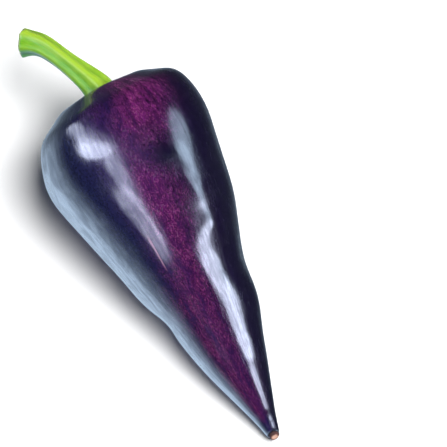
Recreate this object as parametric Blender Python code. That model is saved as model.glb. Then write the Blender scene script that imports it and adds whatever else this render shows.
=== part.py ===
"""A violet sweet pepper, as picked, lying on its side: the fruit, its stalk and the dry scar at the tip.

Run with: blender --background --python part.py

Metres, +Z up. The pieces are shaped in the fruit's own frame: X runs from the crown to the tip, Y across, and
Z towards the lobe that lies uppermost. Angles round the fruit start at +Y and turn towards +Z. An empty that
holds the pieces tilts the pepper on to its two lower lobes and the foot of its point, and centres it over the
table's origin.
"""

import math

import bmesh
import bpy
import numpy as np
from mathutils import Matrix, Vector

MM = 0.001

# Driving dimensions of the fruit
FRUIT_LENGTH = 124.2 * MM
SHOULDER_RADIUS = 28.8 * MM
HOLLOW_DEPTH = 5.2 * MM
HOLLOW_RADIUS = 12.5 * MM

# Half of the fruit's outline: share of the length, share of the shoulder's radius. It starts in the crown's
# hollow and ends in the small dish at the tip.
HOLLOW_FLOOR = HOLLOW_DEPTH / FRUIT_LENGTH
RIM = HOLLOW_RADIUS / SHOULDER_RADIUS
DISH_FLOOR = 0.994
FRUIT_OUTLINE = (
    (HOLLOW_FLOOR, 0.0),
    (0.87 * HOLLOW_FLOOR, 0.39 * RIM),
    (0.42 * HOLLOW_FLOOR, 0.70 * RIM),
    (0.0080, RIM),
    (0.0262, 0.66),
    (0.0535, 0.862),
    (0.105, 0.972),
    (0.177, 1.012),
    (0.274, 0.955),
    (0.387, 0.83),
    (0.491, 0.703),
    (0.580, 0.600),
    (0.660, 0.508),
    (0.757, 0.403),
    (0.870, 0.247),
    (0.950, 0.132),
    (0.990, 0.084),
    (0.9985, 0.066),
    (DISH_FLOOR + 0.0005, 0.050),
    (DISH_FLOOR, 0.0),
)
# The part of the outline that lies in the crown's hollow, and the steps it is read in
HOLLOW_SHARE = 0.085
HOLLOW_STEPS = 40

# Furrows between the lobes, and the flat front of the broad upper lobe: angle, half width, share of the full
# depth, and share of the full dip in the crown's rim, negative where the rim rises
FURROWS = (
    (math.radians(84), math.radians(40), 0.9, -0.45),
    (math.radians(202), math.radians(17), 0.7, 0.8),
    (math.radians(270), math.radians(17), 1.0, 1.0),
    (math.radians(338), math.radians(17), 0.7, 0.8),
)
FURROW_DEPTH = 0.14
FURROW_REACH = 50 * MM
SADDLE_DEPTH = 2.4 * MM
SADDLE_REACH = 17 * MM
# The hollow is round, with no furrows, out to this radius
ROUND_MIDDLE = 8.8 * MM

# The crown leans, more and more towards its edges, so that one shoulder stands higher
CROWN_SLANT = math.radians(4.6)
CROWN_SLANT_REACH = 28 * MM

# The lower half sways a little to one side, below the waist, and so does the tip with its scar
SWAY = 0.55 * MM
SWAY_MIDDLE = 82 * MM
SWAY_REACH = 17 * MM
TIP_SHIFT = 0.4 * MM
TIP_SHIFT_START = 84 * MM
TIP_SHIFT_END = 118 * MM
# The tip's end face, with the scar, leans so that it looks a little upwards
TIP_SLANT = 0.6
TIP_SLANT_START = 115 * MM
TIP_SLANT_END = 123 * MM

# Shallow dents and, where the depth is negative, swellings: distance from the crown, angle, reach, depth
DENTS = (
    (13 * MM, math.radians(113), 7 * MM, 0.45 * MM),
    (67 * MM, math.radians(45), 8 * MM, 0.5 * MM),
    (69 * MM, math.radians(10), 7 * MM, 1.0 * MM),
    (92 * MM, math.radians(58), 11 * MM, 0.45 * MM),
    (60 * MM, math.radians(97), 13 * MM, -0.8 * MM),
    (45 * MM, math.radians(54), 6 * MM, -0.6 * MM),
    (55 * MM, math.radians(52), 6 * MM, -0.65 * MM),
    (50 * MM, math.radians(128), 10 * MM, 0.35 * MM),
    (77.5 * MM, math.radians(178), 5 * MM, 0.9 * MM),
    (66 * MM, math.radians(180), 7 * MM, -0.4 * MM),
    (24 * MM, math.radians(180), 10 * MM, -0.65 * MM),
    (83 * MM, math.radians(5), 8 * MM, -0.9 * MM),
    (30 * MM, math.radians(0), 9 * MM, 0.6 * MM),
    (49 * MM, math.radians(2), 8 * MM, -0.6 * MM),
    (9 * MM, math.radians(185), 9 * MM, 0.5 * MM),
    (38 * MM, math.radians(330), 11 * MM, 0.5 * MM),
    (58 * MM, math.radians(215), 10 * MM, 0.4 * MM),
    (70 * MM, math.radians(270), 9 * MM, 0.7 * MM),
)

# The stalk's middle line, from just above the hollow's floor to the cut, in millimetres
STALK_LINE_MM = (
    (4.8, 0.0, 0.0),
    (2.0, -0.1, 0.0),
    (-1.0, -0.6, 0.2),
    (-5.5, -2.3, 0.6),
    (-10.5, -4.6, 0.9),
    (-16.2, -7.4, 0.8),
    (-21.0, -10.5, 0.2),
    (-24.4, -15.4, -0.9),
)
# The stalk's outline: millimetres along the line, radius in millimetres, and how far it sits on the crown, 1,
# or follows the bent line, 0. It starts under the calyx and ends in the middle of the cut.
STALK_OUTLINE_MM = (
    (0.0, 0.0, 1.0),
    (0.0, 3.2, 1.0),
    (0.0, 5.6, 1.0),
    (0.05, 6.9, 1.0),
    (0.45, 7.4, 1.0),
    (0.85, 6.9, 1.0),
    (1.2, 6.3, 0.9),
    (2.0, 5.75, 0.7),
    (3.5, 5.25, 0.4),
    (5.6, 4.8, 0.1),
    (9.0, 4.2, 0.0),
    (13.5, 3.65, 0.0),
    (18.5, 3.3, 0.0),
    (23.5, 3.35, 0.0),
    (28.5, 3.7, 0.0),
    (32.0, 4.35, 0.0),
    (33.3, 4.5, 0.0),
    (33.8, 3.9, 0.0),
    (33.8, 2.2, 0.0),
    (33.6, 0.0, 0.0),
)
STALK_LENGTH = 33.8 * MM
# Share of the line on either side of a point that gives its direction
STALK_STEP = 0.01

# Ribs along the stalk, which end in the calyx's teeth
RIB_COUNT = 5
RIB_HEIGHT = 0.085
RIB_ANGLE = math.radians(74)
RIB_TWIST = math.radians(-12)
RIB_START = 1.0 * MM
RIB_FULL = 6.0 * MM
TOOTH_LENGTH = 1.6 * MM
TOOTH_NOTCH = 0.7 * MM
TOOTH_START = 4.9 * MM
TOOTH_FULL = 7.3 * MM
TOOTH_POINT = 1.6

# A nick in the edge of the cut
NICK_DEPTH = 1.1 * MM
NICK_ANGLE = math.radians(50)
NICK_WIDTH = math.radians(14)
NICK_START = 30.5 * MM
NICK_FULL = 33.3 * MM
NICK_RADIUS = 3.5 * MM

# The dry scar in the tip's dish: millimetres out from the dish's floor, and radius in millimetres
SCAR_GAP = 0.3 * MM
SCAR_OUTLINE_MM = (
    (0.0, 0.0),
    (0.05, 0.95),
    (0.35, 1.35),
    (0.7, 1.62),
    (1.05, 1.65),
    (1.35, 1.35),
    (1.25, 0.6),
    (1.15, 0.0),
)
SCAR_WAVE = 0.05

# How the pepper lies: its lean, and how deep its resting spots are flattened
LYING_TILT = math.radians(13.2)
REST_FLAT_DEPTH = 0.45 * MM

# Fineness of the meshes
FRUIT_SIDES = 66
FRUIT_RINGS = 52
STALK_SIDES = 40
STALK_RINGS = 40
SCAR_SIDES = 16
SCAR_RINGS = 10

SKIN_COLOUR = (0.045, 0.012, 0.06)
STALK_COLOUR = (0.20, 0.42, 0.03)
SCAR_COLOUR = (0.16, 0.08, 0.05)


def smooth_curve(points):
    """A function of a share, 0 to 1, that runs through the points as a natural cubic spline."""
    points = np.array(points, float)
    step = np.linalg.norm(np.diff(points, axis=0), axis=1)
    start = np.concatenate([[0.0], np.cumsum(step)])
    count = len(points)
    system = np.eye(count)
    kinks = np.zeros_like(points)
    for i in range(1, count - 1):
        system[i, i - 1 : i + 2] = step[i - 1], 2 * (step[i - 1] + step[i]), step[i]
        kinks[i] = 6 * ((points[i + 1] - points[i]) / step[i] - (points[i] - points[i - 1]) / step[i - 1])
    bend = np.linalg.solve(system, kinks)

    def at(share):
        along = min(max(share, 0.0), 1.0) * start[-1]
        i = min(int(np.searchsorted(start, along, side="right")) - 1, count - 2)
        h = step[i]
        a = (start[i + 1] - along) / h
        b = 1.0 - a
        cubic = (a**3 - a) * bend[i] + (b**3 - b) * bend[i + 1]
        return a * points[i] + b * points[i + 1] + cubic * h * h / 6

    return at


def ease(value, low, high):
    """0 below low, 1 above high, and a smooth step between."""
    share = min(max((value - low) / (high - low), 0.0), 1.0)
    return share * share * (3 - 2 * share)


def fade(distance, reach):
    """1 at no distance, falling smoothly to nothing over about twice the reach."""
    return math.exp(-((distance / reach) ** 2))


def turn_between(angle, other):
    """The smaller turn from one angle to another, with its sign."""
    return (angle - other + math.pi) % (2 * math.pi) - math.pi


fruit_outline = smooth_curve([(x * FRUIT_LENGTH, r * SHOULDER_RADIUS) for x, r in FRUIT_OUTLINE])


def furrow(angle):
    """How deep the furrows are at this angle, and how far they dip the rim, as shares of the full values."""
    nearness = [fade(turn_between(angle, row[0]), row[1]) for row in FURROWS]
    depth = sum(near * row[2] for near, row in zip(nearness, FURROWS))
    dip = sum(near * row[3] for near, row in zip(nearness, FURROWS))
    return depth, dip


def fruit_surface(share, angle):
    """A point of the skin: share runs from the crown's hollow, 0, to the tip, 1."""
    x, radius = fruit_outline(share)
    lobed = ease(radius, ROUND_MIDDLE, HOLLOW_RADIUS)
    depth, dip = furrow(angle)
    along = x
    radius *= 1 - FURROW_DEPTH * depth * lobed * fade(along, FURROW_REACH)
    x += SADDLE_DEPTH * dip * lobed * fade(along, SADDLE_REACH)
    for place, middle, reach, sunk in DENTS:
        across = turn_between(angle, middle) * radius
        radius -= sunk * fade(math.hypot(along - place, across), reach) * lobed
    y = radius * math.cos(angle)
    z = radius * math.sin(angle)
    x -= math.tan(CROWN_SLANT) * y * abs(y) / SHOULDER_RADIUS * fade(along, CROWN_SLANT_REACH) * lobed
    y += SWAY * fade(along - SWAY_MIDDLE, SWAY_REACH)
    y += TIP_SHIFT * ease(along, TIP_SHIFT_START, TIP_SHIFT_END)
    x -= TIP_SLANT * z * ease(along, TIP_SLANT_START, TIP_SLANT_END)
    return x, y, z


hollow_curve = np.array([fruit_outline(share) for share in np.linspace(0, HOLLOW_SHARE, HOLLOW_STEPS)])
stalk_line = smooth_curve(np.array(STALK_LINE_MM) * MM)
stalk_outline = smooth_curve(np.array(STALK_OUTLINE_MM) * MM)


def hollow_rise(radius):
    """How much nearer the rim the crown's hollow lies at this radius than in its middle."""
    return float(np.interp(radius, hollow_curve[:, 1], HOLLOW_DEPTH - hollow_curve[:, 0]))


def stalk_surface(share, angle):
    """A point of the stalk: share runs from the middle of the calyx's underside, 0, to that of the cut, 1."""
    along, radius, seat = stalk_outline(share)
    seat = min(max(seat / MM, 0.0), 1.0)
    nick = fade(turn_between(angle, NICK_ANGLE), NICK_WIDTH) * min(radius / NICK_RADIUS, 1.0)
    place = (along - NICK_DEPTH * nick * ease(along, NICK_START, NICK_FULL)) / STALK_LENGTH
    place = min(max(place, 0.0), 1.0)
    ridge = math.cos(RIB_COUNT * (angle - RIB_ANGLE - RIB_TWIST * place))
    tooth = ((1 + ridge) / 2) ** TOOTH_POINT
    edge = ease(radius, TOOTH_START, TOOTH_FULL) * seat
    radius += edge * (TOOTH_LENGTH * tooth - TOOTH_NOTCH * (1 - tooth))
    radius *= 1 + RIB_HEIGHT * ridge * ease(along, RIB_START, RIB_FULL)
    y = radius * math.cos(angle)
    z = radius * math.sin(angle)
    seated = np.array([STALK_LINE_MM[0][0] * MM - along - hollow_rise(radius), y, z])
    ahead = stalk_line(place + STALK_STEP) - stalk_line(place - STALK_STEP)
    ahead /= np.linalg.norm(ahead)
    upward = np.cross((0.0, 1.0, 0.0), ahead)
    upward /= np.linalg.norm(upward)
    across = np.cross(ahead, upward)
    bent = stalk_line(place) + across * y + upward * z
    return tuple(seat * seated + (1 - seat) * bent)


scar_outline = smooth_curve([(x * MM, r * MM) for x, r in SCAR_OUTLINE_MM])


def scar_surface(share, angle):
    """A point of the dry scar: share runs from the side on the fruit, 0, to the outer side, 1."""
    x, radius = scar_outline(share)
    radius *= 1 + SCAR_WAVE * (math.cos(3 * angle) + math.sin(5 * angle + 1))
    y = TIP_SHIFT + radius * math.cos(angle)
    z = radius * math.sin(angle)
    return DISH_FLOOR * FRUIT_LENGTH + SCAR_GAP + x - TIP_SLANT * z, y, z


def face_outwards(mesh):
    """Turns every face of a closed mesh outwards."""
    bmesh.ops.recalc_face_normals(mesh, faces=mesh.faces)
    if mesh.calc_volume(signed=True) < 0:
        bmesh.ops.reverse_faces(mesh, faces=mesh.faces)


def wrapped(surface, sides, rings):
    """A closed mesh: a sphere whose rings and sides are laid on the surface's shares and angles."""
    mesh = bmesh.new()
    bmesh.ops.create_uvsphere(mesh, u_segments=sides, v_segments=rings, radius=1.0)
    for vertex in mesh.verts:
        x, y, z = vertex.co
        share = math.acos(min(max(z, -1.0), 1.0)) / math.pi
        vertex.co = surface(share, math.atan2(y, x))
    face_outwards(mesh)
    return mesh


def flatten(mesh, point, up):
    """Cuts off what lies below the plane through the point, and closes the cut with flat faces."""
    geometry = mesh.verts[:] + mesh.edges[:] + mesh.faces[:]
    bmesh.ops.bisect_plane(mesh, geom=geometry, plane_co=point, plane_no=up, clear_inner=True)
    bmesh.ops.holes_fill(mesh, edges=[edge for edge in mesh.edges if edge.is_boundary], sides=0)
    face_outwards(mesh)


def corners(meshes, turn):
    """Lowest and highest corner of several meshes once they are turned."""
    points = np.array([turn @ vertex.co for mesh in meshes for vertex in mesh.verts])
    return points.min(axis=0), points.max(axis=0)


def material(name, colour, roughness):
    """A Principled material with the piece's plain colour."""
    made = bpy.data.materials.new(name)
    made.use_nodes = True
    shader = made.node_tree.nodes["Principled BSDF"]
    shader.inputs["Base Color"].default_value = (*colour, 1.0)
    shader.inputs["Roughness"].default_value = roughness
    shader.inputs["Metallic"].default_value = 0.0
    made.diffuse_color = (*colour, 1.0)
    return made


def add_piece(name, mesh, finish, collection, parent):
    """One named object from a finished mesh, shaded smooth."""
    data = bpy.data.meshes.new(name)
    mesh.to_mesh(data)
    mesh.free()
    data.shade_smooth()
    data.set_sharp_from_angle(angle=math.radians(50))
    data.materials.append(finish)
    piece = bpy.data.objects.new(name, data)
    piece.parent = parent
    collection.objects.link(piece)
    return piece


def build():
    """Shapes the three pieces, lays them on the table and adds them to the scene."""
    for old in list(bpy.data.objects):
        bpy.data.objects.remove(old)
    collection = bpy.data.collections.new("sweet_pepper")
    bpy.context.scene.collection.children.link(collection)
    pepper = bpy.data.objects.new("sweet_pepper", None)
    collection.objects.link(pepper)

    fruit = wrapped(fruit_surface, FRUIT_SIDES, FRUIT_RINGS)
    stalk = wrapped(stalk_surface, STALK_SIDES, STALK_RINGS)
    scar = wrapped(scar_surface, SCAR_SIDES, SCAR_RINGS)

    tilt = Matrix.Rotation(LYING_TILT, 4, "Y")
    low, high = corners((fruit, stalk, scar), tilt)
    table = low[2] + REST_FLAT_DEPTH
    level = tilt.inverted()
    flatten(fruit, level @ Vector((0, 0, table)), level @ Vector((0, 0, 1)))
    pepper.rotation_euler = (0, LYING_TILT, 0)
    pepper.location = (-(low[0] + high[0]) / 2, -(low[1] + high[1]) / 2, -table)

    skin = material("violet_skin", SKIN_COLOUR, 0.25)
    green = material("green_stalk", STALK_COLOUR, 0.45)
    cork = material("dry_scar", SCAR_COLOUR, 0.8)
    add_piece("fruit", fruit, skin, collection, pepper)
    add_piece("stalk", stalk, green, collection, pepper)
    add_piece("style_scar", scar, cork, collection, pepper)


build()
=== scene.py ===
"""Looks of the violet sweet pepper: its glossy streaked skin, its green stalk and the dry scar at its tip.

Run as a script in Blender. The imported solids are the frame, in metres, +Z up. Each piece here is the fine
version of one solid, worked out from the same driving dimensions, and stands for it.

Fruit's frame: X runs from the crown to the tip, Y across, Z towards the uppermost lobe. Angles round the
fruit start at +Y and turn towards +Z.
"""

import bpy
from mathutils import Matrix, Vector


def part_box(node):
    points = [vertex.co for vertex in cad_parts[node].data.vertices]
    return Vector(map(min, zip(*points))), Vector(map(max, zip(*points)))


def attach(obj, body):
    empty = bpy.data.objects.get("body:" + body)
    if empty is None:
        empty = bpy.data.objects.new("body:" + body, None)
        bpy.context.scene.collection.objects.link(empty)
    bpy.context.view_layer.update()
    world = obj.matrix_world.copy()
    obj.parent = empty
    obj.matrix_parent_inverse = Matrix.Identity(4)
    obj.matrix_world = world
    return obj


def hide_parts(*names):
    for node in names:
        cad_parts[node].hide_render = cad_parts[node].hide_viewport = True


bl_info = {
    "name": "Violet Sweet Pepper",
    "version": (1, 0, 0),
    "blender": (4, 5, 0),
    "location": "View3D > Sidebar > Pepper",
    "description": "Adds a violet sweet pepper with its stalk and scar, and a plain studio stage",
    "category": "Add Mesh",
}

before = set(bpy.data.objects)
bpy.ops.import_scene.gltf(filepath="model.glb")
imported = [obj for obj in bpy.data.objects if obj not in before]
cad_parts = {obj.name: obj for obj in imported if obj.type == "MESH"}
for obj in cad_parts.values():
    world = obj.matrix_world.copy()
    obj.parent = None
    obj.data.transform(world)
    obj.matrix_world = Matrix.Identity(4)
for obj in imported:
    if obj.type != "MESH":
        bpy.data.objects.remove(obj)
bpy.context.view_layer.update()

import math

import bmesh
import bpy
import numpy as np
from bpy.props import FloatProperty, FloatVectorProperty, IntProperty, PointerProperty
from mathutils import Matrix, Vector, noise

MM = 0.001
# Keeps a length from being divided by nothing
TINY = 1e-9

# Half of the fruit's outline. In the hollow: share of its depth, share of its radius. Then the rim's place
HOLLOW_INSIDE = ((1.0, 0.0), (0.87, 0.39), (0.42, 0.70))
RIM_TOP = 0.0080
# Below the rim: share of the length, share of the shoulder's radius
DISH_FLOOR = 0.994
OUTLINE_BELOW_RIM = (
    (0.0262, 0.66),
    (0.0535, 0.862),
    (0.105, 0.972),
    (0.177, 1.012),
    (0.274, 0.955),
    (0.387, 0.83),
    (0.491, 0.703),
    (0.580, 0.600),
    (0.660, 0.508),
    (0.757, 0.403),
    (0.870, 0.247),
    (0.950, 0.132),
    (0.990, 0.084),
    (0.9985, 0.066),
    (DISH_FLOOR + 0.0005, 0.050),
    (DISH_FLOOR, 0.0),
)
# Share of the outline that lies in the hollow
HOLLOW_SHARE = 0.085

# Furrows between the lobes, and the flat front of the broad upper lobe: angle, half width, share of the
# full depth, and share of the full dip in the crown's rim, negative where the rim rises
FURROWS = (
    (math.radians(84), math.radians(40), 0.9, -0.45),
    (math.radians(202), math.radians(17), 0.7, 0.8),
    (math.radians(270), math.radians(17), 1.0, 1.0),
    (math.radians(338), math.radians(17), 0.7, 0.8),
)
FURROW_REACH = 50 * MM
SADDLE_DEPTH = 2.4 * MM
SADDLE_REACH = 17 * MM
# Nearer to the axis than this, the fruit is round
ROUND_MIDDLE = 8.8 * MM

# How the crown slants, the middle sways and the tip shifts and slants
CROWN_SLANT = math.radians(4.6)
CROWN_SLANT_REACH = 28 * MM
SWAY = 0.55 * MM
SWAY_MIDDLE = 82 * MM
SWAY_REACH = 17 * MM
TIP_SHIFT = 0.4 * MM
TIP_SHIFT_START = 84 * MM
TIP_SHIFT_END = 118 * MM
TIP_SLANT = 0.6
TIP_SLANT_START = 115 * MM
TIP_SLANT_END = 123 * MM

# Shallow dents and, where the depth is negative, swellings: distance from the crown, angle, reach, depth
DENTS = (
    (13 * MM, math.radians(113), 7 * MM, 0.45 * MM),
    (67 * MM, math.radians(45), 8 * MM, 0.5 * MM),
    (69 * MM, math.radians(10), 7 * MM, 1.0 * MM),
    (92 * MM, math.radians(58), 11 * MM, 0.45 * MM),
    (60 * MM, math.radians(97), 13 * MM, -0.8 * MM),
    (45 * MM, math.radians(54), 6 * MM, -0.6 * MM),
    (55 * MM, math.radians(52), 6 * MM, -0.65 * MM),
    (50 * MM, math.radians(128), 10 * MM, 0.35 * MM),
    (77.5 * MM, math.radians(178), 5 * MM, 0.9 * MM),
    (66 * MM, math.radians(180), 7 * MM, -0.4 * MM),
    (24 * MM, math.radians(180), 10 * MM, -0.65 * MM),
    (83 * MM, math.radians(5), 8 * MM, -0.9 * MM),
    (30 * MM, math.radians(0), 9 * MM, 0.6 * MM),
    (49 * MM, math.radians(2), 8 * MM, -0.6 * MM),
    (9 * MM, math.radians(185), 9 * MM, 0.5 * MM),
    (38 * MM, math.radians(330), 11 * MM, 0.5 * MM),
    (58 * MM, math.radians(215), 10 * MM, 0.4 * MM),
    (70 * MM, math.radians(270), 9 * MM, 0.7 * MM),
)

# Soft unevenness of the skin that only the fine surface shows: size of a swell and its height
SWELLS = ((11 * MM, 0.05 * MM), (4 * MM, 0.010 * MM))
# How far from the axis it starts and is full
SWELL_START = 5 * MM
SWELL_FULL = 12 * MM

# Keeps the fine skin inside the faceted solid, whose own fineness gives the place of the pepper
SKIN_INSET = 0.9985
SOLID_SIDES = 66
SOLID_RINGS = 52

# Radius of the tube, in millimetres, on which the skin's noises are laid out round the fruit
SKIN_RING_MM = 20.0

# Where wine-red shows through the violet. Above: distance from the crown, angle and half width
WINE_COURSE = (
    (5 * MM, math.radians(68), math.radians(30)),
    (12 * MM, math.radians(72), math.radians(26)),
    (30 * MM, math.radians(84), math.radians(17)),
    (50 * MM, math.radians(86), math.radians(19)),
    (60 * MM, math.radians(92), math.radians(23)),
    (72 * MM, math.radians(101), math.radians(27)),
    (85 * MM, math.radians(104), math.radians(27)),
    (124 * MM, math.radians(101), math.radians(28)),
)
# Below: angle, half width and strength
WINE_ZONES = ((math.radians(205), math.radians(22), 0.8), (math.radians(322), math.radians(24), 0.9))
# How far it wanders, in radians above and below, and how long a bend is across and along, in millimetres
WANDER_ABOVE = 0.2
WANDER_BELOW = 0.25
WANDER_SIZES = (14, 14, 30)
# Places where it is weaker or stronger: distance from the crown, angle, reach, strength
WINE_PATCHES = (
    (27 * MM, math.radians(76), 7 * MM, -0.75),
    (41 * MM, math.radians(70), 5 * MM, 0.2),
    (6 * MM, math.radians(84), 5 * MM, -0.4),
    (10 * MM, math.radians(64), 6 * MM, 0.3),
    (36 * MM, math.radians(90), 5 * MM, 0.3),
    (49 * MM, math.radians(90), 5 * MM, 0.4),
    (123 * MM, math.radians(90), 4 * MM, -1.0),
)

# The stalk's middle line, as on the solid
STALK_LINE_MM = (
    (4.8, 0.0, 0.0),
    (2.0, -0.1, 0.0),
    (-1.0, -0.6, 0.2),
    (-5.5, -2.3, 0.6),
    (-10.5, -4.6, 0.9),
    (-16.2, -7.4, 0.8),
    (-21.0, -10.5, 0.2),
    (-24.4, -15.4, -0.9),
)
# Its outline: distance along the line, radius, and how far that ring follows the crown's hollow, 1, and not
# the bent line, 0
STALK_OUTLINE_MM = (
    (0.0, 0.0, 1.0),
    (0.0, 3.2, 1.0),
    (0.0, 5.6, 1.0),
    (0.05, 6.9, 1.0),
    (0.45, 7.4, 1.0),
    (0.85, 6.9, 1.0),
    (1.2, 6.3, 0.9),
    (2.0, 5.75, 0.7),
    (3.5, 5.25, 0.4),
    (5.6, 4.8, 0.1),
    (9.0, 4.2, 0.0),
    (13.5, 3.65, 0.0),
    (18.5, 3.3, 0.0),
    (23.5, 3.35, 0.0),
    (28.5, 3.7, 0.0),
    (32.0, 4.35, 0.0),
    (33.3, 4.5, 0.0),
    (33.8, 3.9, 0.0),
    (33.8, 2.2, 0.0),
    (33.6, 0.0, 0.0),
)
# Share of the line over which its direction is taken
STALK_STEP = 0.01
# Ribs along the stalk, and the teeth of its calyx under them
RIB_COUNT = 5
RIB_HEIGHT = 0.085
RIB_ANGLE = math.radians(74)
RIB_TWIST = math.radians(-12)
RIB_START = 1.0 * MM
RIB_FULL = 6.0 * MM
TOOTH_LENGTH = 1.6 * MM
TOOTH_NOTCH = 0.7 * MM
TOOTH_START = 4.9 * MM
TOOTH_FULL = 7.3 * MM
TOOTH_POINT = 1.6
# A nick in the edge of the cut
NICK_DEPTH = 1.1 * MM
NICK_ANGLE = math.radians(50)
NICK_WIDTH = math.radians(14)
NICK_START = 30.5 * MM
NICK_FULL = 33.3 * MM
NICK_RADIUS = 3.5 * MM
# Distances along the stalk where the cut's dull colour starts and is full
CUT_START = 33.0 * MM
CUT_FULL = 33.7 * MM
# The side of the stalk with painted light, paler and yellower than the rest; the far side gets painted shade
PAINTED_LIGHT_SIDE = math.radians(40)

# The scar's outline: distance out of its dish, and radius
SCAR_OUTLINE_MM = (
    (0.0, 0.0),
    (0.05, 0.95),
    (0.35, 1.35),
    (0.7, 1.62),
    (1.05, 1.65),
    (1.35, 1.35),
    (1.25, 0.6),
    (1.15, 0.0),
)
SCAR_GAP = 0.3 * MM
SCAR_WAVE = 0.05
SCAR_SIDES = 64
SCAR_RINGS = 48

# Grains of the materials' noises: millimetres across and along, detail and distortion
SKIN_GRAINS = {
    "broad": (5.0, 34.0, 2.0, 0.0),
    "patches": (3.2, 7.0, 3.0, 0.8),
    "streaks": (0.9, 12.0, 3.0, 0.4),
    "flecks": (0.35, 1.1, 2.0, 1.5),
    "grit": (0.5, 0.9, 3.0, 0.5),
    "pores": (0.5, 1.6, 3.0, 0.0),
    "waves": (1.6, 6.0, 2.0, 0.0),
}
STALK_GRAINS = {
    "fibre": (0.5, 9.0, 3.0, 0.0),
    "mottle": (1.5, 5.0, 3.0, 0.0),
    "specks": (0.5, 0.6, 3.0, 0.0),
}
SCAR_GRAINS = {"specks": (0.35, 0.35, 3.0, 0.0)}
# The greatest sum of the values that colour the scar
SCAR_TONES = 1.7
# How strongly the waves of the skin's unevenness show, beside its pores
WAVES_TO_PORES = 4.5

# A short crease on the belly: where its middle lies along the fruit, in millimetres, and how it runs across,
# wavers and sinks
CREASE_MIDDLE = 55.5
CREASE_ANGLE = math.radians(108)
CREASE_SLANT = -0.02
CREASE_ACROSS = (-math.sin(CREASE_ANGLE), math.cos(CREASE_ANGLE), CREASE_SLANT)
CREASE_WAVER = 1.2
CREASE_OFFSET = -CREASE_SLANT * CREASE_MIDDLE - CREASE_WAVER / 2
CREASE_HEIGHT = -2.0

# Settings of shader nodes
TIMES = {"operation": "MULTIPLY"}
TIMES_PLUS = {"operation": "MULTIPLY_ADD"}
ABSOLUTE = {"operation": "ABSOLUTE"}
DOT = {"operation": "DOT_PRODUCT"}
SMOOTH = {"interpolation_type": "SMOOTHSTEP"}
COLOURS = {"data_type": "RGBA"}

# Lights: aim, spread and turn in degrees across and up the picture, as the pepper sees them, distance in
# metres, brightness, colour, and whether matt or glossy surfaces take them
LILAC_WHITE = (0.71, 0.78, 1.0)
SLATE_WHITE = (0.6, 0.78, 1.0)
SOFT_BOXES = {
    "key": ((17, 10), (30, 30), 0, 4.0, 16.0, (1.0, 1.0, 1.0), "matt"),
    "left_strip": ((-12, -9), (23, 44), 24, 1.0, 6.0, LILAC_WHITE, "gloss"),
    "left_foot": ((-13, -29), (34, 14), 35, 0.99, 5.5, LILAC_WHITE, "gloss"),
    "left_hook": ((-34, 8), (50, 18), 6, 0.98, 12.5, LILAC_WHITE, "gloss"),
    "left_wing": ((-60, 28), (66, 18), -27, 0.96, 7.5, LILAC_WHITE, "gloss"),
    "right_slate": ((58, 27), (34, 42), 0, 1.0, 4.0, SLATE_WHITE, "gloss"),
    "right_spot": ((62, 10), (32, 18), -15, 0.97, 3.6, SLATE_WHITE, "gloss"),
    "right_strip": ((60, -6), (46, 11), 23, 0.98, 16.0, LILAC_WHITE, "gloss"),
    "right_tip": ((58, -20), (30, 14), 20, 0.96, 11.0, LILAC_WHITE, "gloss"),
}
# Place on the fruit's axis that they are aimed at
LIT_MIDDLE = 50 * MM
# Watts of a soft box of one square metre with a brightness of 1
BOX_WATTS = 4
# Share of a glossy soft box, from its middle out, that is at full brightness
BOX_CORE = 0.55

# How brightly the pale surround shows. By height: from straight down, 0, over the horizon, 0.5, to straight
# up, 1. By side: from the right, 0, over the crown's front to the left, 1. The floor glows low down, less on
# the right.
SURROUND = (
    (0.0, 0.0),
    (0.07, 0.5),
    (0.16, 1.15),
    (0.26, 1.2),
    (0.36, 0.95),
    (0.45, 0.6),
    (0.53, 0.28),
    (0.64, 0.0),
)
SURROUND_SIDES = ((0.0, 0.0), (0.3, 0.02), (0.5, 0.06), (0.62, 0.2), (0.78, 0.7), (0.92, 1.0))
FLOOR_GLOW = ((0.0, 1.3), (0.06, 1.1), (0.13, 0.2), (0.18, 0.0))
FLOOR_SIDES = ((0.0, 0.15), (0.35, 0.2), (0.5, 0.6), (0.7, 1.0))
# The direction of the left side
SURROUND_SIDE = (0.45, -0.893, 0.0)
SURROUND_STRENGTH = 3.6
ROOM_STRENGTH = 0.03
ROOM_COLOUR = SLATE_WHITE

# Half of the floor's width
FLOOR_HALF = 3.0

# The photograph's frame, where the fruit's axis lies in it, in pixels, and how long that axis is
PHOTO_SIZE = 447
CROWN_PIXEL = (98.0, 88.5)
TIP_PIXEL = (274.0, 438.0)
AXIS_LENGTH = 125.3 * MM
SENSOR_WIDTH = 36.0
CLIP_START = 0.01


def linear(value):
    """An sRGB hex colour, such as "#1d1838", or a grey number, as linear red, green, blue and alpha."""
    if not isinstance(value, str):
        return (value, value, value, 1.0)
    parts = [int(value[i : i + 2], 16) / 255 for i in (1, 3, 5)]
    return (*(v / 12.92 if v <= 0.04045 else ((v + 0.055) / 1.055) ** 2.4 for v in parts), 1.0)


def smooth_curve(points):
    """A function of shares, 0 to 1, that runs through the points as a natural cubic spline."""
    points = np.array(points, float)
    step = np.linalg.norm(np.diff(points, axis=0), axis=1)
    start = np.concatenate([[0.0], np.cumsum(step)])
    count = len(points)
    system = np.eye(count)
    kinks = np.zeros_like(points)
    for i in range(1, count - 1):
        system[i, i - 1 : i + 2] = step[i - 1], 2 * (step[i - 1] + step[i]), step[i]
        kinks[i] = 6 * ((points[i + 1] - points[i]) / step[i] - (points[i] - points[i - 1]) / step[i - 1])
    bend = np.linalg.solve(system, kinks)

    def at(share):
        along = np.clip(share, 0.0, 1.0) * start[-1]
        i = np.clip(np.searchsorted(start, along, side="right") - 1, 0, count - 2)
        h = step[i][..., None]
        a = (start[i + 1] - along)[..., None] / h
        b = 1.0 - a
        cubic = (a**3 - a) * bend[i] + (b**3 - b) * bend[i + 1]
        return a * points[i] + b * points[i + 1] + cubic * h * h / 6

    return at


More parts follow.
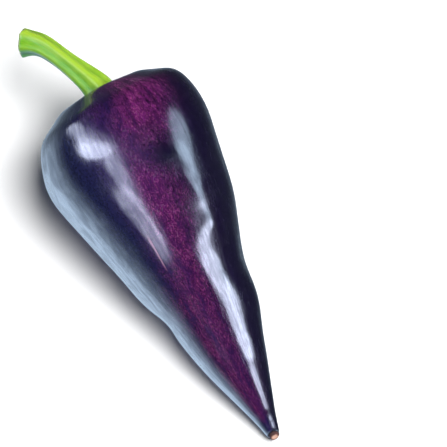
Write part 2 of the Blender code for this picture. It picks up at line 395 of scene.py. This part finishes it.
def ease(value, low, high):
    """0 below low, 1 above high, and a smooth step between."""
    share = np.clip((value - low) / (high - low), 0.0, 1.0)
    return share * share * (3 - 2 * share)


def fade(distance, reach):
    """1 at no distance, falling smoothly to nothing over about twice the reach."""
    return np.exp(-((distance / reach) ** 2))


def turn_between(angle, other):
    """The smaller turn from one angle to another, with its sign."""
    return (angle - other + math.pi) % (2 * math.pi) - math.pi


def angle_sum(angle, rows, column=2):
    """Adds up soft bands round the fruit, each given by its angle, half width and strength."""
    return sum(row[column] * fade(turn_between(angle, row[0]), row[1]) for row in rows)


def fruit_outline(fruit):
    """The fruit's outline as a curve, from the hollow's middle over the rim to the tip's dish."""
    floor = fruit.hollow_depth / fruit.length
    rim = fruit.hollow_radius / fruit.shoulder_radius
    hollow = tuple((x * floor, r * rim) for x, r in HOLLOW_INSIDE) + ((RIM_TOP, rim),)
    outline = hollow + OUTLINE_BELOW_RIM
    return smooth_curve([(x * fruit.length, r * fruit.shoulder_radius) for x, r in outline])


def fruit_surface(fruit, share, angle):
    """Points of the skin in the fruit's frame, with no unevenness."""
    x, radius = fruit_outline(fruit)(share).T
    lobed = ease(radius, ROUND_MIDDLE, fruit.hollow_radius)
    along = x.copy()
    furrow = fruit.furrow_depth * angle_sum(angle, FURROWS)
    radius = radius * (1 - furrow * lobed * fade(along, FURROW_REACH))
    x = x + SADDLE_DEPTH * angle_sum(angle, FURROWS, 3) * lobed * fade(along, SADDLE_REACH)
    for place, middle, reach, sunk in DENTS:
        across = turn_between(angle, middle) * radius
        radius = radius - sunk * fade(np.hypot(along - place, across), reach) * lobed
    y = radius * np.cos(angle)
    z = radius * np.sin(angle)
    lean = math.tan(CROWN_SLANT) / fruit.shoulder_radius
    x = x - lean * y * np.abs(y) * fade(along, CROWN_SLANT_REACH) * lobed
    y = y + SWAY * fade(along - SWAY_MIDDLE, SWAY_REACH)
    y = y + TIP_SHIFT * ease(along, TIP_SHIFT_START, TIP_SHIFT_END)
    x = x - TIP_SLANT * z * ease(along, TIP_SLANT_START, TIP_SLANT_END)
    return np.stack([x, y, z], axis=1)


def skin_swell(points):
    """How far the skin swells out at each point, dying away towards the hollow's middle and the tip."""
    swell = np.zeros(len(points))
    for size, height in SWELLS:
        swell += height * np.array([noise.noise(Vector(point) / size) for point in points])
    return swell * ease(np.hypot(points[:, 1], points[:, 2]), SWELL_START, SWELL_FULL)


def wine_red(points, along, angle, place):
    """How much wine-red shows at each point of the skin, 0 to 1."""
    wander = np.array([noise.noise(Vector(spot)) for spot in place / WANDER_SIZES])
    course, middle, width = np.array(WINE_COURSE).T
    middle = np.interp(along, course, middle)
    width = np.interp(along, course, width)
    wine = fade(turn_between(angle + WANDER_ABOVE * wander, middle), width)
    wine = wine + angle_sum(angle + WANDER_BELOW * wander, WINE_ZONES)
    radius = np.hypot(points[:, 1], points[:, 2])
    for spot, turned, reach, strength in WINE_PATCHES:
        across = turn_between(angle, turned) * radius
        wine = wine + strength * fade(np.hypot(along - spot, across), reach)
    return np.clip(wine, 0, 1)


def stalk_surface(fruit, stalk, share, angle):
    """Points of the stalk in the fruit's frame, with the ridge value and the distance along it."""
    hollow = fruit_outline(fruit)(np.linspace(0, HOLLOW_SHARE, 60))
    line = smooth_curve(np.array(STALK_LINE_MM) * MM)
    along, radius, seat = smooth_curve(np.array(STALK_OUTLINE_MM) * MM)(share).T
    seat = np.clip(seat / MM, 0.0, 1.0)
    nick = fade(turn_between(angle, NICK_ANGLE), NICK_WIDTH) * np.minimum(radius / NICK_RADIUS, 1.0)
    place = (along - NICK_DEPTH * nick * ease(along, NICK_START, NICK_FULL)) / stalk.length
    place = np.clip(place, 0.0, 1.0)
    ridge = np.cos(RIB_COUNT * (angle - RIB_ANGLE - RIB_TWIST * place))
    tooth = ((1 + ridge) / 2) ** TOOTH_POINT
    edge = ease(radius, TOOTH_START, TOOTH_FULL) * seat
    radius = radius + edge * (TOOTH_LENGTH * tooth - TOOTH_NOTCH * (1 - tooth))
    radius = radius * (1 + RIB_HEIGHT * ridge * ease(along, RIB_START, RIB_FULL))
    y = radius * np.cos(angle)
    z = radius * np.sin(angle)
    rise = np.interp(radius, hollow[:, 1], fruit.hollow_depth - hollow[:, 0])
    seated = np.stack([STALK_LINE_MM[0][0] * MM - along - rise, y, z], axis=1)
    ahead = line(place + STALK_STEP) - line(place - STALK_STEP)
    ahead /= np.linalg.norm(ahead, axis=1, keepdims=True)
    upward = np.cross((0.0, 1.0, 0.0), ahead)
    upward /= np.linalg.norm(upward, axis=1, keepdims=True)
    across = np.cross(ahead, upward)
    bent = line(place) + across * y[:, None] + upward * z[:, None]
    points = seat[:, None] * seated + (1 - seat[:, None]) * bent
    return points, ridge, along, radius


def scar_surface(fruit, share, angle):
    """Points of the dry scar in the fruit's frame, and their distance from its middle."""
    x, radius = smooth_curve(np.array(SCAR_OUTLINE_MM) * MM)(share).T
    radius = radius * (1 + SCAR_WAVE * (np.cos(3 * angle) + np.sin(5 * angle + 1)))
    y = TIP_SHIFT + radius * np.cos(angle)
    z = radius * np.sin(angle)
    out = DISH_FLOOR * fruit.length + SCAR_GAP + x - TIP_SLANT * z
    return np.stack([out, y, z], axis=1), radius


def sphere_grid(sides, rings):
    """A sphere as a bmesh, with the share from pole to pole and the angle round it of each vertex."""
    mesh = bmesh.new()
    bmesh.ops.create_uvsphere(mesh, u_segments=sides, v_segments=rings, radius=1.0)
    points = np.array([vertex.co for vertex in mesh.verts])
    share = np.arccos(np.clip(points[:, 2], -1.0, 1.0)) / math.pi
    return mesh, share, np.arctan2(points[:, 1], points[:, 0])


def lay_out(mesh, points):
    """Moves a bmesh's vertices to the points and turns its faces outwards."""
    for vertex, point in zip(mesh.verts, points):
        vertex.co = point
    bmesh.ops.recalc_face_normals(mesh, faces=mesh.faces)
    if mesh.calc_volume(signed=True) < 0:
        bmesh.ops.reverse_faces(mesh, faces=mesh.faces)


def place_of_pepper(fruit):
    """The matrix from the fruit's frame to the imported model's, found from the fruit solid's box."""
    shares = np.linspace(0, 1, SOLID_RINGS + 1)
    angles = np.linspace(-math.pi, math.pi, SOLID_SIDES + 1)
    shares, angles = np.meshgrid(shares, angles)
    points = fruit_surface(fruit, shares.ravel(), angles.ravel())
    tilt = Matrix.Rotation(fruit.tilt, 4, "Y")
    turned = points @ np.array(tilt.to_3x3()).T
    low, high = (np.array(corner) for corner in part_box("fruit"))
    middle = (low + high) / 2 - (turned.min(axis=0) + turned.max(axis=0)) / 2
    top = high[2] - turned[:, 2].max()
    return Matrix.Translation((middle[0], middle[1], top)) @ tilt


def settled(fruit, node, points):
    """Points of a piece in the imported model's frame, kept inside the box of its solid."""
    matrix = place_of_pepper(fruit)
    turn = np.array(matrix.to_3x3())
    low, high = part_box(node)
    return np.clip(points @ turn.T + np.array(matrix.translation), low, high)


def add_piece(name, mesh, finish, node, attributes):
    """One finished object from a bmesh, with its values per vertex, standing for one solid."""
    data = bpy.data.meshes.new(name)
    mesh.to_mesh(data)
    mesh.free()
    data.shade_smooth()
    data.materials.append(finish)
    for title, values in attributes.items():
        kind, key = ("FLOAT_VECTOR", "vector") if values.ndim == 2 else ("FLOAT", "value")
        layer = data.attributes.new(title, kind, "POINT")
        layer.data.foreach_set(key, values.astype(np.float32).ravel())
    piece = bpy.data.objects.new(name, data)
    bpy.context.scene.collection.objects.link(piece)
    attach(piece, "root")
    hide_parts(node)


def add_node(tree, kind, settings=None, inputs=None, stops=(), output=0):
    """One shader node: its settings, its inputs as values or another node's output, and a ramp's stops.

    Gives back the output with that number or name.
    """
    node = tree.nodes.new(kind)
    for key, value in (settings or {}).items():
        setattr(node, key, value)
    for key, value in (inputs or {}).items():
        if isinstance(value, bpy.types.NodeSocket):
            tree.links.new(value, node.inputs[key])
        else:
            node.inputs[key].default_value = value
    for count, (place, colour) in enumerate(stops):
        elements = node.color_ramp.elements
        element = elements[count] if count < 2 else elements.new(place)
        element.position = place
        element.color = linear(colour)
    return node.outputs[output]


def new_material(name):
    """An empty node material, with its node tree and its Principled shader."""
    made = bpy.data.materials.new(name)
    made.use_nodes = True
    return made, made.node_tree, made.node_tree.nodes["Principled BSDF"]


def add_grains(tree, place, grains):
    """Noises by name, each with grains so many millimetres across and along the piece."""
    noises = {}
    for name, (across, along, detail, distortion) in grains.items():
        scale = (1 / across, 1 / across, 1 / along)
        stretched = add_node(tree, "ShaderNodeMapping", inputs={"Vector": place, "Scale": scale})
        inputs = {"Vector": stretched, "Scale": 1.0, "Detail": detail, "Distortion": distortion}
        noises[name] = add_node(tree, "ShaderNodeTexNoise", inputs=inputs, output="Fac")
    return noises


def add_crease(tree, place, along, waver):
    """Where the short crease shows, 0 to 1, from how far across it and how far along it a place is."""
    inputs = {0: place, 1: CREASE_ACROSS}
    aside = add_node(tree, "ShaderNodeVectorMath", DOT, inputs, output="Value")
    waver = add_node(tree, "ShaderNodeMath", TIMES_PLUS, {0: waver, 1: CREASE_WAVER, 2: CREASE_OFFSET})
    aside = add_node(tree, "ShaderNodeMath", inputs={0: aside, 1: waver})
    aside = add_node(tree, "ShaderNodeMath", ABSOLUTE, {0: aside})
    inputs = {"Value": aside, "From Min": 0.12, "From Max": 0.4, "To Min": 1.0, "To Max": 0.0}
    near = add_node(tree, "ShaderNodeMapRange", SMOOTH, inputs)
    middle = add_node(tree, "ShaderNodeMath", {"operation": "SUBTRACT"}, {0: along, 1: CREASE_MIDDLE})
    middle = add_node(tree, "ShaderNodeMath", ABSOLUTE, {0: middle})
    inputs = {"Value": middle, "From Min": 3.0, "From Max": 7.5, "To Min": 0.5, "To Max": 0.0}
    within = add_node(tree, "ShaderNodeMapRange", SMOOTH, inputs)
    return add_node(tree, "ShaderNodeMath", TIMES, {0: near, 1: within})


def pepper_skin(looks):
    """Waxy pepper skin: dark violet flesh under a clear glossy cuticle, with wine-red flecks along it.

    The cuticle mirrors the lights sharply and a little cloudily, and the flesh stays deep and dark under it.
    """
    made, tree, shader = new_material("waxy_violet_pepper_skin")
    place = add_node(tree, "ShaderNodeAttribute", {"attribute_name": "skin_place"}, output="Vector")
    wine = add_node(tree, "ShaderNodeAttribute", {"attribute_name": "wine"}, output="Fac")
    across = add_node(tree, "ShaderNodeSeparateXYZ", inputs={"Vector": place}, output="X")
    along = add_node(tree, "ShaderNodeSeparateXYZ", inputs={"Vector": place}, output="Z")
    grains = add_grains(tree, place, SKIN_GRAINS)

    # Dark ground: navy at left, violet in the middle, near-black painted shade on the right flank
    inputs = {"Value": across, "From Min": -15.0, "From Max": 9.0}
    aside = add_node(tree, "ShaderNodeMapRange", inputs=inputs)
    # Mixes painted shade towards the right flank with a random drift of tone
    drift_and_painted_shade = add_node(tree, "ShaderNodeMix", inputs={0: 0.35, 2: aside, 3: grains["broad"]})
    # The last, near-black stop is painted shade on the right flank
    stops = ((0.15, "#151c38"), (0.5, "#1d123b"), (0.8, "#0e0820"))
    ground = add_node(tree, "ShaderNodeValToRGB", inputs={"Fac": drift_and_painted_shade}, stops=stops)

    # Wine-red patches and streaks, rosier near the crown
    mottle = add_node(tree, "ShaderNodeMix", inputs={0: 0.35, 2: grains["patches"], 3: grains["streaks"]})
    inputs = {"Value": mottle, "From Min": 0.32, "From Max": 0.62, "To Min": 0.2}
    patchy = add_node(tree, "ShaderNodeMapRange", SMOOTH, inputs)
    red = add_node(tree, "ShaderNodeMath", TIMES, {0: wine, 1: patchy})
    inputs = {"Value": along, "From Min": 4.0, "From Max": 60.0}
    lower = add_node(tree, "ShaderNodeMapRange", inputs=inputs)
    stops = ((0.0, "#5a1a52"), (0.35, "#450d48"), (1.0, "#370737"))
    flesh = add_node(tree, "ShaderNodeValToRGB", inputs={"Fac": lower}, stops=stops)
    coloured = add_node(tree, "ShaderNodeMix", COLOURS, {0: red, 6: ground, 7: flesh}, output=2)

    # Fine rosy flecks in the wine-red parts, and a grain of light and dark over all
    inputs = {"Value": grains["flecks"], "From Min": 0.51, "From Max": 0.7, "To Max": 0.55}
    flecked = add_node(tree, "ShaderNodeMapRange", inputs=inputs)
    fleck = add_node(tree, "ShaderNodeMath", TIMES, {0: red, 1: flecked})
    inputs = {0: fleck, 6: coloured, 7: linear("#96467a")}
    coloured = add_node(tree, "ShaderNodeMix", COLOURS, inputs, output=2)
    inputs = {"Value": grains["grit"], "From Min": 0.3, "From Max": 0.7, "To Min": 0.6, "To Max": 1.4}
    grit = add_node(tree, "ShaderNodeMapRange", {"clamp": False}, inputs)
    coloured = add_node(tree, "ShaderNodeVectorMath", {"operation": "SCALE"}, {0: coloured, 3: grit})

    # A short pale crease on the belly
    crease = add_crease(tree, place, along, grains["streaks"])
    inputs = {0: crease, 6: coloured, 7: linear("#b0809c")}
    coloured = add_node(tree, "ShaderNodeMix", COLOURS, inputs, output=2)
    tree.links.new(coloured, shader.inputs["Base Color"])

    # Fine unevenness that breaks up the edges of the gloss
    inputs = {0: grains["waves"], 1: WAVES_TO_PORES, 2: grains["pores"]}
    height = add_node(tree, "ShaderNodeMath", TIMES_PLUS, inputs)
    height = add_node(tree, "ShaderNodeMath", TIMES_PLUS, {0: crease, 1: CREASE_HEIGHT, 2: height})
    inputs = {"Strength": 0.35, "Distance": 0.05 * MM, "Height": height}
    tree.links.new(add_node(tree, "ShaderNodeBump", inputs=inputs), shader.inputs["Normal"])

    # Gloss with cloudy places, and a cuticle that is thicker in some patches
    clouds = add_node(tree, "ShaderNodeMix", inputs={0: 0.4, 2: grains["patches"], 3: grains["pores"]})
    inputs = {"Value": clouds, "From Min": 0.35, "From Max": 0.65}
    inputs.update({"To Min": looks.roughness - 0.06, "To Max": looks.roughness + 0.12})
    clouds = add_node(tree, "ShaderNodeMapRange", inputs=inputs)
    tree.links.new(clouds, shader.inputs["Roughness"])
    inputs = {"Value": mottle, "From Min": 0.4, "From Max": 0.6, "To Min": 0.25, "To Max": 1.0}
    cuticle = add_node(tree, "ShaderNodeMapRange", inputs=inputs)
    tree.links.new(cuticle, shader.inputs["Coat Weight"])
    shader.inputs["Coat Roughness"].default_value = 0.1
    shader.inputs["IOR"].default_value = 1.42
    return made


def green_stalk_flesh():
    """Fresh green stalk: satin skin, yellower ribs, painted light on one side, dull and pale at the cut.

    Light goes a little way into the wet flesh, which softens the ribs.
    """
    made, tree, shader = new_material("fresh_green_stalk")
    place = add_node(tree, "ShaderNodeAttribute", {"attribute_name": "stalk_place"}, output="Vector")
    ridge = add_node(tree, "ShaderNodeAttribute", {"attribute_name": "ridge"}, output="Fac")
    cut = add_node(tree, "ShaderNodeAttribute", {"attribute_name": "cut"}, output="Fac")
    side = add_node(tree, "ShaderNodeAttribute", {"attribute_name": "side"}, output="Fac")
    along = add_node(tree, "ShaderNodeSeparateXYZ", inputs={"Vector": place}, output="Z")
    grains = add_grains(tree, place, STALK_GRAINS)

    tone = add_node(tree, "ShaderNodeMath", TIMES_PLUS, {0: ridge, 1: 0.26, 2: -0.38})
    # The side value paints light on one side of the stalk and shade on the other
    for value, share in ((side, 0.72), (grains["fibre"], 0.45), (grains["mottle"], 0.45)):
        tone = add_node(tree, "ShaderNodeMath", TIMES_PLUS, {0: value, 1: share, 2: tone})
    stops = ((0.15, "#1f6406"), (0.42, "#42880c"), (0.66, "#6c9c1a"), (0.98, "#8fb22e"))
    green = add_node(tree, "ShaderNodeValToRGB", inputs={"Fac": tone}, stops=stops)

    # Brown specks where the stalk meets the crown
    inputs = {"Value": along, "From Min": 2.0, "From Max": 7.0, "To Min": 1.0, "To Max": 0.0}
    low = add_node(tree, "ShaderNodeMapRange", inputs=inputs)
    inputs = {"Value": grains["specks"], "From Min": 0.60, "From Max": 0.70}
    specks = add_node(tree, "ShaderNodeMapRange", inputs=inputs)
    brown = add_node(tree, "ShaderNodeMath", TIMES, {0: low, 1: specks})
    inputs = {0: brown, 6: green, 7: linear("#6b5a1c")}
    green = add_node(tree, "ShaderNodeMix", COLOURS, inputs, output=2)

    stops = ((0.35, "#7d8a4a"), (0.6, "#c6cf96"))
    dried = add_node(tree, "ShaderNodeValToRGB", inputs={"Fac": grains["specks"]}, stops=stops)
    coloured = add_node(tree, "ShaderNodeMix", COLOURS, {0: cut, 6: green, 7: dried}, output=2)
    tree.links.new(coloured, shader.inputs["Base Color"])

    inputs = {"Strength": 0.5, "Distance": 0.08 * MM, "Height": grains["fibre"]}
    tree.links.new(add_node(tree, "ShaderNodeBump", inputs=inputs), shader.inputs["Normal"])
    shader.inputs["Roughness"].default_value = 0.42
    shader.inputs["IOR"].default_value = 1.45
    shader.inputs["Subsurface Weight"].default_value = 0.15
    shader.inputs["Subsurface Scale"].default_value = 1.0 * MM
    return made


def dry_cork():
    """Dried flower scar: matt brown cork that scatters light, tan in the middle and dark at the rim."""
    made, tree, shader = new_material("dry_brown_cork")
    place = add_node(tree, "ShaderNodeAttribute", {"attribute_name": "scar_place"}, output="Vector")
    outward = add_node(tree, "ShaderNodeAttribute", {"attribute_name": "outward"}, output="Fac")
    specks = add_grains(tree, place, SCAR_GRAINS)["specks"]
    tone = add_node(tree, "ShaderNodeMath", TIMES_PLUS, {0: specks, 1: 0.7, 2: outward})
    tone = add_node(tree, "ShaderNodeMath", {"operation": "DIVIDE"}, {0: tone, 1: SCAR_TONES})
    stops = ((0.8, "#cfa48e"), (1.0, "#7a4a3a"), (1.15, "#3a2019"))
    stops = tuple((at / SCAR_TONES, colour) for at, colour in stops)
    brown = add_node(tree, "ShaderNodeValToRGB", inputs={"Fac": tone}, stops=stops)
    tree.links.new(brown, shader.inputs["Base Color"])
    inputs = {"Strength": 0.8, "Distance": 0.15 * MM, "Height": specks}
    tree.links.new(add_node(tree, "ShaderNodeBump", inputs=inputs), shader.inputs["Normal"])
    shader.inputs["Roughness"].default_value = 0.8
    return made


class PEPPER_PG_fruit(bpy.types.PropertyGroup):
    """Sizes of the fruit and the gloss of its skin."""

    length: FloatProperty(
        name="Length", description="From the crown's rim to the tip", default=124.2 * MM, unit="LENGTH"
    )
    shoulder_radius: FloatProperty(
        name="Shoulder radius", description="Half of the greatest width", default=28.8 * MM, unit="LENGTH"
    )
    hollow_depth: FloatProperty(
        name="Hollow depth", description="Depth of the crown's hollow", default=5.2 * MM, unit="LENGTH"
    )
    hollow_radius: FloatProperty(
        name="Hollow radius", description="Radius of the crown's rim", default=12.5 * MM, unit="LENGTH"
    )
    furrow_depth: FloatProperty(
        name="Furrow depth",
        description="Deepest furrow at the shoulder, as a share of the radius",
        default=0.14,
    )
    tilt: FloatProperty(
        name="Tilt",
        description="How far the tip leans down as the fruit lies",
        default=math.radians(13.2),
        subtype="ANGLE",
        unit="ROTATION",
    )
    roughness: FloatProperty(
        name="Roughness", description="Blur of the skin's gloss", default=0.18, min=0.05, max=1.0
    )
    sides: IntProperty(name="Sides", description="Faces round the fruit", default=320)
    rings: IntProperty(name="Rings", description="Rows of faces from the hollow to the tip", default=280)


class PEPPER_PG_stalk(bpy.types.PropertyGroup):
    """Sizes of the stalk."""

    length: FloatProperty(
        name="Length",
        description="Along the bent stalk, from the calyx to the cut",
        default=33.8 * MM,
        unit="LENGTH",
    )
    sides: IntProperty(name="Sides", description="Faces round the stalk", default=160)
    rings: IntProperty(name="Rings", description="Rows of faces from the calyx to the cut", default=220)


class PEPPER_PG_stage(bpy.types.PropertyGroup):
    """The floor and the camera."""

    camera_distance: FloatProperty(
        name="Camera distance",
        description="From the fruit's axis to the camera",
        default=2.0,
        unit="LENGTH",
    )
    floor_colour: FloatVectorProperty(
        name="Floor colour",
        description="Colour of the plain floor",
        default=(0.9, 0.9, 0.9),
        subtype="COLOR",
        size=3,
    )


class PEPPER_PG_settings(bpy.types.PropertyGroup):
    """Everything that the pepper's operators read."""

    fruit: PointerProperty(type=PEPPER_PG_fruit)
    stalk: PointerProperty(type=PEPPER_PG_stalk)
    stage: PointerProperty(type=PEPPER_PG_stage)


class PEPPER_OT_fruit(bpy.types.Operator):
    """Add the fruit with its streaked skin"""

    bl_idname = "pepper.add_fruit"
    bl_label = "Add fruit"

    def execute(self, context):
        fruit = context.scene.pepper.fruit
        mesh, share, angle = sphere_grid(fruit.sides, fruit.rings)
        points = fruit_surface(fruit, share, angle)
        outward = points * (0, 1, 1)
        outward /= np.maximum(np.linalg.norm(outward, axis=1, keepdims=True), TINY)
        points = (points + outward * skin_swell(points)[:, None]) * (1, SKIN_INSET, SKIN_INSET)
        lay_out(mesh, settled(fruit, "fruit", points))
        along = fruit_outline(fruit)(share)[:, 0]
        ring = np.stack([np.cos(angle), np.sin(angle)], axis=1) * SKIN_RING_MM
        place = np.column_stack([ring, along / MM])
        attributes = {"skin_place": place, "wine": wine_red(points, along, angle, place)}
        add_piece("fruit_skin", mesh, pepper_skin(fruit), "fruit", attributes)
        return {"FINISHED"}


class PEPPER_OT_stalk(bpy.types.Operator):
    """Add the green stalk with its calyx"""

    bl_idname = "pepper.add_stalk"
    bl_label = "Add stalk"

    def execute(self, context):
        settings = context.scene.pepper
        mesh, share, angle = sphere_grid(settings.stalk.sides, settings.stalk.rings)
        points, ridge, along, radius = stalk_surface(settings.fruit, settings.stalk, share, angle)
        lay_out(mesh, settled(settings.fruit, "stalk", points))
        attributes = {
            "stalk_place": np.stack([radius * np.cos(angle), radius * np.sin(angle), along], axis=1) / MM,
            "ridge": (ridge + 1) / 2,
            "cut": ease(along, CUT_START, CUT_FULL),
            # Painted light and shade: 1 on the stalk's paler lit side, 0 on its darker shaded side
            "side": (np.cos(angle - PAINTED_LIGHT_SIDE) + 1) / 2,
        }
        add_piece("stalk_green", mesh, green_stalk_flesh(), "stalk", attributes)
        return {"FINISHED"}


class PEPPER_OT_scar(bpy.types.Operator):
    """Add the dry scar at the tip"""

    bl_idname = "pepper.add_scar"
    bl_label = "Add scar"

    def execute(self, context):
        fruit = context.scene.pepper.fruit
        mesh, share, angle = sphere_grid(SCAR_SIDES, SCAR_RINGS)
        points, radius = scar_surface(fruit, share, angle)
        lay_out(mesh, settled(fruit, "style_scar", points))
        attributes = {"scar_place": points / MM, "outward": radius / radius.max()}
        add_piece("scar_cork", mesh, dry_cork(), "style_scar", attributes)
        return {"FINISHED"}


def picture_axes():
    """Right and up in the picture, in the fruit's frame, and metres a pixel on the fruit's axis."""
    crown = Vector((CROWN_PIXEL[0], -CROWN_PIXEL[1]))
    tip = Vector((TIP_PIXEL[0], -TIP_PIXEL[1]))
    along = (tip - crown).normalized()
    right = Vector((along.x, -along.y, 0))
    up = Vector((along.y, along.x, 0))
    return right, up, AXIS_LENGTH / (tip - crown).length


def add_soft_box(name, place, box):
    """A soft box over the pepper, aimed at its middle and hidden from the camera.

    One that glossy surfaces take fades to its edge, so that its mirror image has no hard outline.
    """
    aim, spread, turned, distance, brightness, colour, seen_in = box
    right, up, _ = picture_axes()
    across, high = (math.radians(value) for value in aim)
    lean = math.hypot(across, high)
    flat = (across * right + high * up) / max(lean, TINY)
    away = math.sin(lean) * flat + math.cos(lean) * Vector((0, 0, 1))
    side = up.cross(away).normalized()
    data = bpy.data.lights.new(name, "AREA")
    data.shape = "RECTANGLE"
    data.size, data.size_y = (2 * distance * math.tan(math.radians(value) / 2) for value in spread)
    data.energy = BOX_WATTS * brightness * data.size * data.size_y
    data.color = colour
    if seen_in == "gloss":
        data.use_nodes = True
        tree = data.node_tree
        at = add_node(tree, "ShaderNodeNewGeometry", output="Parametric")
        at = add_node(tree, "ShaderNodeVectorMath", TIMES_PLUS, {0: at, 1: (2, 2, 0), 2: (-1, -1, 0)})
        out = add_node(tree, "ShaderNodeVectorMath", {"operation": "LENGTH"}, {0: at}, output="Value")
        inputs = {"Value": out, "From Min": BOX_CORE, "From Max": 1.0, "To Min": 1.0, "To Max": 0.0}
        glow = add_node(tree, "ShaderNodeMapRange", SMOOTH, inputs)
        tree.links.new(glow, tree.nodes["Emission"].inputs["Strength"])
    facing = Matrix((side, away.cross(side), away)).transposed().to_4x4()
    facing = facing @ Matrix.Rotation(math.radians(turned), 4, "Z")
    facing.translation = Vector((LIT_MIDDLE, 0, 0)) + away * distance
    lamp = bpy.data.objects.new(name, data)
    bpy.context.scene.collection.objects.link(lamp)
    lamp.matrix_world = place @ facing
    lamp.visible_camera = False
    lamp.visible_diffuse = seen_in == "matt"
    lamp.visible_glossy = seen_in == "gloss"


def add_room(scene):
    """A dim room, pale low on the left, where the skin's edge mirrors it as it would a white table."""
    world = bpy.data.worlds.new("dim_room")
    scene.world = world
    world.use_nodes = True
    tree = world.node_tree
    place = add_node(tree, "ShaderNodeTexCoord", output="Generated")
    height = add_node(tree, "ShaderNodeSeparateXYZ", inputs={"Vector": place}, output="Z")
    height = add_node(tree, "ShaderNodeMapRange", inputs={"Value": height, "From Min": -1.0})
    side = add_node(tree, "ShaderNodeVectorMath", DOT, {0: place, 1: SURROUND_SIDE}, output="Value")
    side = add_node(tree, "ShaderNodeMapRange", inputs={"Value": side, "From Min": -1.0})
    pale = add_node(tree, "ShaderNodeValToRGB", inputs={"Fac": height}, stops=SURROUND)
    stops = [(at, value * SURROUND_STRENGTH) for at, value in SURROUND_SIDES]
    leftward = add_node(tree, "ShaderNodeValToRGB", inputs={"Fac": side}, stops=stops)
    low = add_node(tree, "ShaderNodeValToRGB", inputs={"Fac": height}, stops=FLOOR_GLOW)
    aside = add_node(tree, "ShaderNodeValToRGB", inputs={"Fac": side}, stops=FLOOR_SIDES)
    low = add_node(tree, "ShaderNodeMath", TIMES_PLUS, {0: low, 1: aside, 2: ROOM_STRENGTH})
    strength = add_node(tree, "ShaderNodeMath", TIMES_PLUS, {0: pale, 1: leftward, 2: low})
    background = tree.nodes["Background"]
    background.inputs["Color"].default_value = (*ROOM_COLOUR, 1.0)
    tree.links.new(strength, background.inputs["Strength"])


def add_floor(scene, colour):
    """A plain matt floor under the pepper, which takes its shadow and isn't mirrored in it."""
    paint, _, shader = new_material("matt_pale_floor_paint")
    shader.inputs["Base Color"].default_value = (*colour, 1.0)
    shader.inputs["Roughness"].default_value = 0.9
    shader.inputs["Specular IOR Level"].default_value = 0.1
    mesh = bmesh.new()
    bmesh.ops.create_grid(mesh, x_segments=1, y_segments=1, size=FLOOR_HALF)
    data = bpy.data.meshes.new("floor")
    mesh.to_mesh(data)
    mesh.free()
    data.materials.append(paint)
    floor = bpy.data.objects.new("floor", data)
    scene.collection.objects.link(floor)
    floor.visible_glossy = False


def add_camera(scene, place, distance):
    """A camera that looks down on the pepper and frames it as the photograph does."""
    right, up, scale = picture_axes()
    middle = Vector((PHOTO_SIZE / 2 - CROWN_PIXEL[0], CROWN_PIXEL[1] - PHOTO_SIZE / 2)) * scale
    pose = Matrix((right, up, Vector((0, 0, 1)))).transposed().to_4x4()
    pose.translation = middle.x * right + middle.y * up + Vector((0, 0, distance))
    lens = bpy.data.cameras.new("camera")
    lens.sensor_width = SENSOR_WIDTH
    lens.lens = SENSOR_WIDTH * distance / (PHOTO_SIZE * scale)
    lens.clip_start = CLIP_START
    camera = bpy.data.objects.new("camera", lens)
    scene.collection.objects.link(camera)
    camera.matrix_world = place @ pose
    scene.camera = camera


class PEPPER_OT_stage(bpy.types.Operator):
    """Add the floor, the soft lights and the camera"""

    bl_idname = "pepper.add_stage"
    bl_label = "Add stage"

    def execute(self, context):
        settings = context.scene.pepper
        scene = context.scene
        place = place_of_pepper(settings.fruit)
        add_floor(scene, settings.stage.floor_colour)
        for name, box in SOFT_BOXES.items():
            add_soft_box(name, place, box)
        add_room(scene)
        add_camera(scene, place, settings.stage.camera_distance)
        scene.view_settings.view_transform = "Standard"
        return {"FINISHED"}


class PEPPER_PT_panel(bpy.types.Panel):
    """The pepper's operators in the sidebar"""

    bl_label = "Violet sweet pepper"
    bl_space_type = "VIEW_3D"
    bl_region_type = "UI"
    bl_category = "Pepper"

    def draw(self, context):
        for operator in OPERATORS:
            self.layout.operator(operator.bl_idname)


OPERATORS = (PEPPER_OT_fruit, PEPPER_OT_stalk, PEPPER_OT_scar, PEPPER_OT_stage)
GROUPS = (PEPPER_PG_fruit, PEPPER_PG_stalk, PEPPER_PG_stage, PEPPER_PG_settings)
CLASSES = GROUPS + OPERATORS + (PEPPER_PT_panel,)


def register():
    """Registers the classes and hangs the settings on the scene."""
    for cls in CLASSES:
        bpy.utils.register_class(cls)
    bpy.types.Scene.pepper = PointerProperty(type=PEPPER_PG_settings)


def unregister():
    """Takes the settings off the scene and unregisters the classes."""
    del bpy.types.Scene.pepper
    for cls in reversed(CLASSES):
        bpy.utils.unregister_class(cls)


def main():
    """Builds the pepper and its stage."""
    register()
    bpy.ops.pepper.add_fruit()
    bpy.ops.pepper.add_stalk()
    bpy.ops.pepper.add_scar()
    bpy.ops.pepper.add_stage()


if __name__ == "__main__":
    main()
